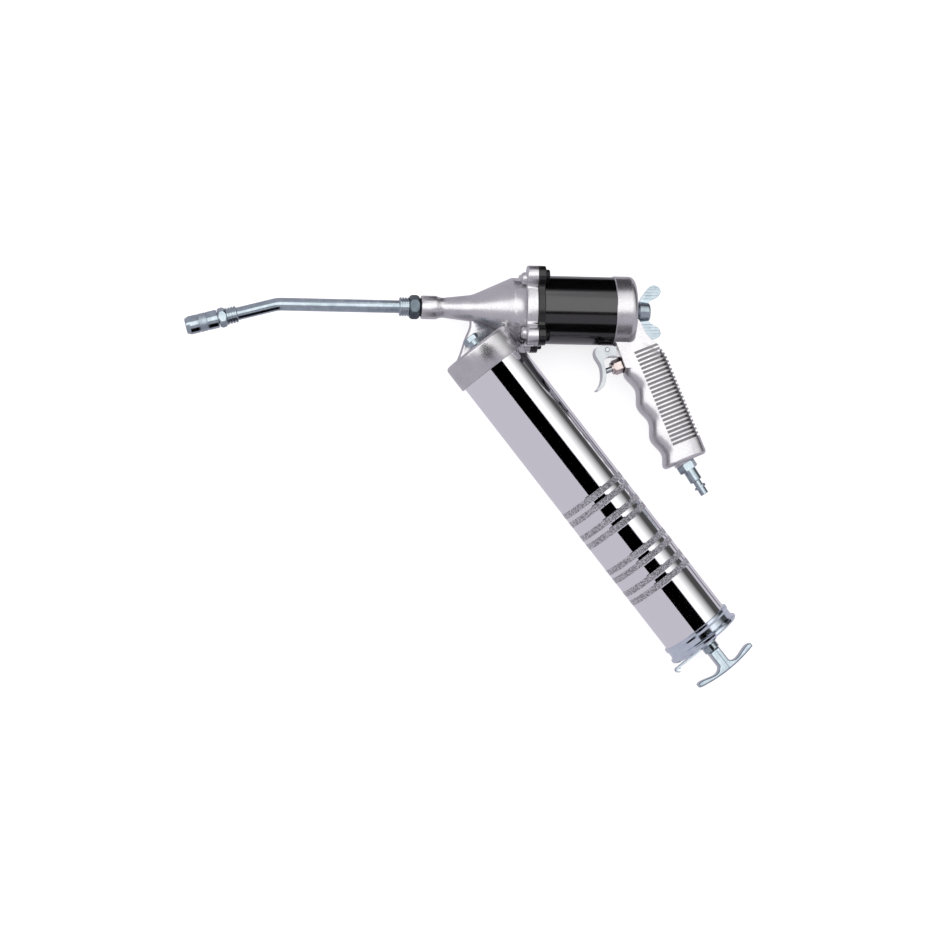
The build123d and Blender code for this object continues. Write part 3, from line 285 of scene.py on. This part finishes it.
def zincPlate(name, light="b3bec5", dark="9eabb3", knurl=None):
    # clear zinc plate on steel: bright with a blue cast and slightly cloudy patches
    material, tree, place = startMaterial(name)
    cloud = addNode(tree, "TexNoise", {"Vector": place, "Scale": 1 / (6 * mm), "Detail": 3.0})
    grain = addNode(tree, "TexNoise", {"Vector": place, "Scale": 1 / (0.6 * mm), "Detail": 3.0})
    shade = addNode(tree, "MapRange", {"Value": cloud, **noiseRange})
    colour = addNode(tree, "Mix", {0: shade, 6: light, 7: dark}, data_type="RGBA")
    rough = addNode(tree, "MapRange", {"Value": cloud, **noiseRange, "To Min": 0.08, "To Max": 0.15})
    edge = addNode(tree, "Bevel", {"Radius": 0.35 * mm}, samples=4)
    height = addNode(tree, "MapRange", {"Value": grain, **noiseRange, "To Max": 0.05})
    if knurl:
        along, angle = alongAndRound(tree, place, knurl["start"], knurl["way"])
        bands = insideBands(tree, along, [knurl["middleMm"]], knurl["wideMm"])
        points = diamonds(tree, along, angle, knurl["radiusMm"], knurl["strokeMm"])
        cut = addNode(tree, "Math", {0: points, 1: bands}, operation="MULTIPLY")
        height = addNode(tree, "Math", {0: height, 1: cut}, operation="ADD")
    bump = addNode(tree, "Bump", {"Height": height, "Strength": 0.5, "Distance": 0.25 * mm, "Normal": edge})
    shader = addNode(tree, "BsdfPrincipled", {"Base Color": colour, "Roughness": rough, "Normal": bump,
                                              "Metallic": 1.0})
    addNode(tree, "OutputMaterial", {"Surface": shader})
    return material


def plainMetal(name, light, dark, rough, grainMm=1.0, bump=0.1):
    # a turned, drawn or polished metal: two close shades and a fine grain
    material, tree, place = startMaterial(name)
    cloud = addNode(tree, "TexNoise", {"Vector": place, "Scale": 1 / (8 * mm), "Detail": 3.0})
    grain = addNode(tree, "TexNoise", {"Vector": place, "Scale": 1 / (grainMm * mm), "Detail": 3.0})
    shade = addNode(tree, "MapRange", {"Value": cloud, **noiseRange})
    colour = addNode(tree, "Mix", {0: shade, 6: light, 7: dark}, data_type="RGBA")
    roughness = addNode(tree, "MapRange", {"Value": grain, **noiseRange, "To Min": rough * 0.75,
                                           "To Max": rough * 1.25})
    edge = addNode(tree, "Bevel", {"Radius": 0.3 * mm}, samples=4)
    normal = addNode(tree, "Bump", {"Height": grain, "Strength": bump, "Distance": 0.1 * mm, "Normal": edge})
    shader = addNode(tree, "BsdfPrincipled", {"Base Color": colour, "Roughness": roughness,
                                              "Normal": normal, "Metallic": 1.0})
    addNode(tree, "OutputMaterial", {"Surface": shader})
    return material


def mouldedRubber():
    # moulded black rubber: dark and dull with a dusty bloom
    material, tree, place = startMaterial("mouldedRubber")
    bloom = addNode(tree, "TexNoise", {"Vector": place, "Scale": 1 / (3 * mm), "Detail": 3.0})
    shade = addNode(tree, "MapRange", {"Value": bloom, **noiseRange})
    colour = addNode(tree, "Mix", {0: shade, 6: "121212", 7: "232222"}, data_type="RGBA")
    normal = addNode(tree, "Bump", {"Height": bloom, "Strength": 0.2, "Distance": 0.1 * mm})
    shader = addNode(tree, "BsdfPrincipled", {"Base Color": colour, "Roughness": 0.65, "Normal": normal})
    addNode(tree, "OutputMaterial", {"Surface": shader})
    return material


def pressedFibre():
    # pressed fibre sheet: brown-black, matt, with short fibres
    material, tree, place = startMaterial("pressedFibre")
    fibre = addNode(tree, "TexVoronoi", {"Vector": place, "Scale": 1200.0})
    shade = addNode(tree, "MapRange", {"Value": fibre, "From Max": 0.6})
    colour = addNode(tree, "Mix", {0: shade, 6: "2b2622", 7: "3d362f"}, data_type="RGBA")
    shader = addNode(tree, "BsdfPrincipled", {"Base Color": colour, "Roughness": 0.8})
    addNode(tree, "OutputMaterial", {"Surface": shader})
    return material


couplerKnurl = {"start": couplerMouth, "way": couplerWay, "middleMm": 8.3, "wideMm": 6.5, "radiusMm": 7.4,
                "strokeMm": 1.0}
paint(["head_casting"], castAluminium())
paint(["handle_casting"], castAluminium("castAluminiumGripPaintedShade", gripPanel))
paint(["air_cylinder"], blackAnodised())
paint(["cylinder_flange_ring"], blackEnamel())
paint(["coupler_sleeve"], zincPlate("zincKnurled", knurl=couplerKnurl))
paint(["coupler_collar_nut", "coupler_hex_adapter", "pipe_ribbed_nut", "air_inlet_plug", "wing_screw",
       "rod_latch", "bleeder_valve", "bleeder_washer", "rod_handle", "delivery_pipe", "rod_guide_bush"],
      zincPlate("zincFittings"))
paint(["barrel_end_cap"], zincPlate("zincPlate", "dbe4ee", "ccd6e2"))
paint(["pipe_hex_adapter"], plainMetal("oiledBlackOxide", "6d7880", "515a61", 0.3))
paint(["flange_screws"], plainMetal("blackOxideScrews", "2a2a2c", "1c1c1d", 0.28))
paint(["check_seat", "check_ball", "pump_plunger", "follower_rod", "trigger_pin", "piston_nut",
       "follower_nut", "follower_plate", "bleeder_button", "coupler_jaws"],
      plainMetal("groundSteel", "c3c5c8", "aeb1b5", 0.22))
paint(["check_spring", "coupler_spring", "return_spring", "valve_spring", "follower_spring"],
      plainMetal("springWire", "8b8e92", "75787c", 0.3))
paint(["trigger", "valve_stem"], plainMetal("polishedPlate", "b0b4b6", "a2a6a9", 0.12))
paint(["valve_body"], plainMetal("nickelOnBrass", "cfc2bf", "b5a6a3", 0.2))
paint(["plunger_gland"], plainMetal("turnedBrass", "c9a761", "b08f4c", 0.25))
paint(["air_piston"], plainMetal("turnedAluminium", "cfd0d2", "bfc0c3", 0.3))
paint(["inlet_screen"], plainMetal("sinteredBronze", "b0905a", "8d7040", 0.55, 0.3, 0.6))
paint(["snout_washer", "plunger_seal", "piston_seal", "coupler_seal", "valve_seal", "valve_washer",
       "barrel_gasket", "follower_cup", "stroke_stop_pad"], mouldedRubber())
paint(["flange_gasket"], pressedFibre())
print("finishes on the kept parts")


# shaping helpers

def choose(piece=None):
    # object mode, with only this piece selected, or nothing
    if bpy.context.object and bpy.context.object.mode != "OBJECT":
        bpy.ops.object.mode_set(mode="OBJECT")
    bpy.ops.object.select_all(action="DESELECT")
    if piece:
        piece.select_set(True)
        bpy.context.view_layer.objects.active = piece


def settle(piece):
    # place and turn go into the mesh, so that the object sits at the origin
    choose(piece)
    bpy.ops.object.transform_apply(location=True, rotation=True, scale=True)


def turnOut(name, profile, start, way, segments):
    # a tube drawn out along an axis through (distance, radius) steps in mm
    choose()
    firstMm, firstRadiusMm = profile[0]
    bpy.ops.mesh.primitive_circle_add(vertices=segments, radius=firstRadiusMm * mm,
                                      location=(0, 0, firstMm * mm))
    piece = bpy.context.object
    piece.name = name
    settle(piece)
    bpy.ops.object.mode_set(mode="EDIT")
    bpy.ops.mesh.select_all(action="SELECT")
    for (zWas, rWas), (z, r) in zip(profile, profile[1:]):
        bpy.ops.mesh.extrude_region_move(TRANSFORM_OT_translate={"value": (0, 0, (z - zWas) * mm)})
        bpy.ops.transform.resize(value=(r / rWas, r / rWas, 1), center_override=(0, 0, z * mm))
    bpy.ops.object.mode_set(mode="OBJECT")
    piece.rotation_mode = "QUATERNION"
    piece.rotation_quaternion = way.to_track_quat("Z", "Y")
    piece.location = start
    settle(piece)
    return piece


def outward(piece):
    # doubles merged and every face turned out
    choose(piece)
    bpy.ops.object.mode_set(mode="EDIT")
    bpy.ops.mesh.select_all(action="SELECT")
    bpy.ops.mesh.remove_doubles(threshold=1e-6)
    bpy.ops.mesh.normals_make_consistent(inside=False)
    bpy.ops.object.mode_set(mode="OBJECT")


def thicken(piece, wallMm):
    choose(piece)
    wall = piece.modifiers.new("wall", "SOLIDIFY")
    wall.thickness = wallMm * mm
    wall.offset = -1
    bpy.ops.object.modifier_apply(modifier="wall")


def smooth(piece, degrees):
    choose(piece)
    bpy.ops.object.shade_smooth_by_angle(angle=math.radians(degrees))


def copyOf(nodeName, pieceName):
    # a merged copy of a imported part, free to be shaped
    choose(nodes[nodeName])
    bpy.ops.object.duplicate()
    piece = bpy.context.object
    piece.name = pieceName
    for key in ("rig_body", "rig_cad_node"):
        del piece[key]
    bpy.ops.object.parent_clear(type="CLEAR_KEEP_TRANSFORM")
    bpy.ops.object.mode_set(mode="EDIT")
    bpy.ops.mesh.select_all(action="SELECT")
    bpy.ops.mesh.remove_doubles(threshold=1e-6)
    bpy.ops.object.mode_set(mode="OBJECT")
    return piece


# grease barrel: a drawn tube with raised bands; the steps are sharper than the smoothing angle

barrelShape = {"startMm": -13.7, "endMm": 273.6, "edgeMm": 0.7, "segments": 192, "smoothDeg": 5}
plainRadius = barrelFinish["radiusMm"]
raisedRadius = plainRadius + barrelFinish["raiseMm"]
profile = [(barrelShape["startMm"], plainRadius)]
for middle in barrelFinish["bandsMm"]:
    half, step = barrelFinish["bandWideMm"] / 2, barrelShape["edgeMm"]
    profile += [(middle - half - step, plainRadius), (middle - half, raisedRadius),
                (middle + half, raisedRadius), (middle + half + step, plainRadius)]
profile.append((barrelShape["endMm"], plainRadius))
tube = turnOut("barrelTube", profile, barrelTop, barrelWay, barrelShape["segments"])
outward(tube)
thicken(tube, barrelFinish["wallMm"])
smooth(tube, barrelShape["smoothDeg"])
tube.data.materials.append(chromeBarrel())
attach(tube, "barrel")
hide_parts("barrel_tube")
print("barrel drawn")


# head casting: its barrel ring is a piece of its own, so that the studio can light it as it lights the barrel

ringShape = {"lengthMm": 22.1, "radiusMm": 31.0, "slackMm": 0.02, "smoothDeg": 30}
body = copyOf("head_casting", "headBody")
slack = ringShape["slackMm"]
for polygon in body.data.polygons:
    offset = polygon.center - barrelTop
    down = offset.dot(barrelWay)
    out = (offset - barrelWay * down).length
    polygon.select = (out < (ringShape["radiusMm"] + slack) * mm
                      and -(ringShape["lengthMm"] + slack) * mm < down < slack * mm)
for thing in list(body.data.vertices) + list(body.data.edges):
    thing.select = False
for polygon in body.data.polygons:
    if polygon.select:
        for index in polygon.vertices:
            body.data.vertices[index].select = True
bpy.context.tool_settings.mesh_select_mode = (False, False, True)
bpy.ops.object.mode_set(mode="EDIT")
bpy.ops.mesh.separate(type="SELECTED")
bpy.ops.object.mode_set(mode="OBJECT")
ring = next(o for o in bpy.context.selected_objects if o is not body)
ring.name = "headRing"
for piece in (body, ring):
    smooth(piece, ringShape["smoothDeg"])
    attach(piece, "gun_frame")
    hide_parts("head_casting")
print("head split from its ring:", len(ring.data.polygons), "faces on the ring")


# floor, cards, lights and camera; angles are in degrees from overhead, distances in metres

studio = {"floorColour": "c4c4c5", "floorPatches": "c0c0c1", "floorGlow": 0.72, "worldColour": "f7f3ff",
          "worldStrength": 0.63}
whiteShape = {"glow": 1.25, "low": 0.06, "fadeFrom": 42, "fadeTo": 80, "near": 26.5, "nearAway": 3.2,
              "far": 104, "farAway": 2.6, "half": 1.6}
fillShape = {"glow": 1.8, "from": -19.4, "to": 24.6, "away": 3.2, "start": -0.95, "end": 0.65}
skyCards = {"coneCard": {"centreMm": (-50, 0, 0), "x": (-58, 6), "y": (-12, 30), "away": 3.6},
            "cylinderCard": {"centreMm": (26, 0, 0), "x": (1, 17), "y": (0, 58), "away": 3.4}}
skyFlags = {"highFlag": (64, 96), "rearFlag": (96, 128), "midFlag": (-21, -11), "lowFlag": (-112, -52)}
flagShape = {"centreMm": (26, 0, 0), "x": (2, 16), "away": 3.0}
barrelFlag = {"beside": 0.085, "floorGap": 0.004, "length": 0.27, "height": 0.009}
skyUp = Vector((0, 0, 1))
barrelMiddle = barrelTop + barrelWay * 0.125
across = skyUp.cross(barrelWay).normalized()  # square to the barrel, towards the grip
if across.x < 0:
    across = -across


def glow(name, strength, fade=None):
    # an even glow, or one that fades with the angle from overhead, square to the barrel
    material, tree, place = startMaterial(name)
    if fade:
        sideways = alongLine(tree, place, barrelMiddle, across)
        upward = alongLine(tree, place, barrelMiddle, skyUp)
        angle = addNode(tree, "Math", {0: sideways, 1: upward}, operation="ARCTAN2")
        strength = addNode(tree, "MapRange", {
            "Value": angle, "From Min": math.radians(fade["fadeFrom"]),
            "From Max": math.radians(fade["fadeTo"]), "To Min": strength, "To Max": strength * fade["low"]})
    light = addNode(tree, "Emission", {"Strength": strength})
    addNode(tree, "OutputMaterial", {"Surface": light})
    return material


def card(name, corners, material, onlyReflected=False):
    # a flat panel of the studio through four corners
    choose()
    bpy.ops.mesh.primitive_plane_add(size=2)
    panel = bpy.context.object
    panel.name = name
    for vertex, corner in zip(panel.data.vertices, (corners[0], corners[1], corners[3], corners[2])):
        vertex.co = corner
    panel.data.materials.append(material)
    panel.visible_camera = False
    if onlyReflected:
        panel.visible_diffuse = False
        panel.visible_shadow = False
    return panel


def besideBarrel(angle, away, along):
    # a point of the sky at an angle from overhead, square to the barrel
    a = math.radians(angle)
    return barrelMiddle + across * (math.sin(a) * away) + skyUp * (math.cos(a) * away) + barrelWay * along


def skyPatch(centreMm, xRange, yRange, away):
    # four points of the sky round one place of the gun, by their angles along the cylinder and round it
    (fromX, toX), (fromY, toY) = xRange, yRange
    corners = []
    for x, y in ((fromX, fromY), (toX, fromY), (toX, toY), (fromX, toY)):
        x, y = math.radians(x), math.radians(y)
        way = Vector((math.sin(x), math.cos(x) * math.sin(y), math.cos(x) * math.cos(y)))
        corners.append(setDown + Vector(centreMm) * mm + way * away)
    return corners


choose()
bpy.ops.mesh.primitive_plane_add(size=30)
floor = bpy.context.object
floor.name = "studioFloor"
material, tree, place = startMaterial("paleFloor")
tone = addNode(tree, "TexNoise", {"Vector": place, "Scale": 1 / (900 * mm), "Detail": 1.0})
patches = addNode(tree, "MapRange", {"Value": tone, **noiseRange})
floorColour = addNode(tree, "Mix", {0: patches, 6: studio["floorColour"], 7: studio["floorPatches"]},
                      data_type="RGBA")
paper = addNode(tree, "BsdfPrincipled", {
    "Base Color": floorColour, "Roughness": 0.9, "Specular IOR Level": 0.1,
    "Emission Color": "ffffff", "Emission Strength": studio["floorGlow"]})
addNode(tree, "OutputMaterial", {"Surface": paper})
floor.data.materials.append(material)
floor.visible_glossy = False

white = [besideBarrel(whiteShape[side], whiteShape[side + "Away"], end * whiteShape["half"])
         for side, end in (("near", -1), ("near", 1), ("far", 1), ("far", -1))]
card("whiteCard", white, glow("whiteCardGlow", whiteShape["glow"], whiteShape))
fillGlow = glow("fillGlow", fillShape["glow"])
overhead = [besideBarrel(fillShape[side], fillShape["away"], fillShape[end])
            for side, end in (("from", "start"), ("from", "end"), ("to", "end"), ("to", "start"))]
fillCards = [card("overheadCard", overhead, fillGlow)]
for name, shape in skyCards.items():
    fillCards.append(card(name, skyPatch(shape["centreMm"], shape["x"], shape["y"], shape["away"]), fillGlow))
unlit = glow("unlitCard", 0.0)
for name, yRange in skyFlags.items():
    card(name, skyPatch(flagShape["centreMm"], flagShape["x"], yRange, flagShape["away"]), unlit, True)
flagFoot = barrelTop + across * barrelFlag["beside"] - skyUp * (axisHeight - barrelFlag["floorGap"])
flagEnd, flagUp = flagFoot + barrelWay * barrelFlag["length"], skyUp * barrelFlag["height"]
card("barrelFlag", [flagFoot, flagEnd, flagEnd + flagUp, flagFoot + flagUp], unlit, True)

# the fill cards light the castings and small parts; the barrel and its cap mirror them as a black band
lit = bpy.data.collections.new("litFromOverhead")
litBeside = bpy.data.collections.new("litFromBeside")
for name in ("handle_casting", "trigger", "trigger_pin", "valve_body", "valve_stem", "wing_screw",
             "rod_handle", "flange_screws", "cylinder_flange_ring", "air_inlet_plug", "bleeder_valve",
             "pipe_hex_adapter", "coupler_hex_adapter", "coupler_collar_nut", "pipe_ribbed_nut",
             "rod_latch", "air_cylinder", "delivery_pipe", "coupler_sleeve"):
    lit.objects.link(nodes[name])
lit.objects.link(body)
lit.objects.link(floor)
for thing in list(lit.objects) + [ring]:
    litBeside.objects.link(thing)
for fill, receivers in zip(fillCards, (lit, litBeside, litBeside)):
    fill.light_linking.receiver_collection = receivers

world = bpy.data.worlds.new("studioWorld")
bpy.context.scene.world = world
world.use_nodes = True
background = world.node_tree.nodes["Background"]
background.inputs["Color"].default_value = linear(studio["worldColour"])
background.inputs["Strength"].default_value = studio["worldStrength"]

cameraShape = {"placeMm": (-280.97, -288.08, 2000.0), "aimMm": (-52.54, -133.94, 0.0), "rollRad": 0.006,
               "lensMm": 95.9, "sensorMm": 36}
cameraData = bpy.data.cameras.new("camera")
camera = bpy.data.objects.new("camera", cameraData)
bpy.context.scene.collection.objects.link(camera)
cameraData.lens = cameraShape["lensMm"]
cameraData.sensor_width = cameraShape["sensorMm"]
cameraData.clip_end = 50
eye = setDown + Vector(cameraShape["placeMm"]) * mm
aim = setDown + Vector(cameraShape["aimMm"]) * mm
forward = (aim - eye).normalized()
right = forward.cross(Vector((0, 1, 0))).normalized()
up = right.cross(forward)
c, s = math.cos(cameraShape["rollRad"]), math.sin(cameraShape["rollRad"])
right, up = right * c + up * s, up * c - right * s
camera.matrix_world = Matrix.Translation(eye) @ Matrix((right, up, -forward)).transposed().to_4x4()
bpy.context.scene.camera = camera
bpy.context.scene.view_settings.view_transform = "Standard"
print("studio set")
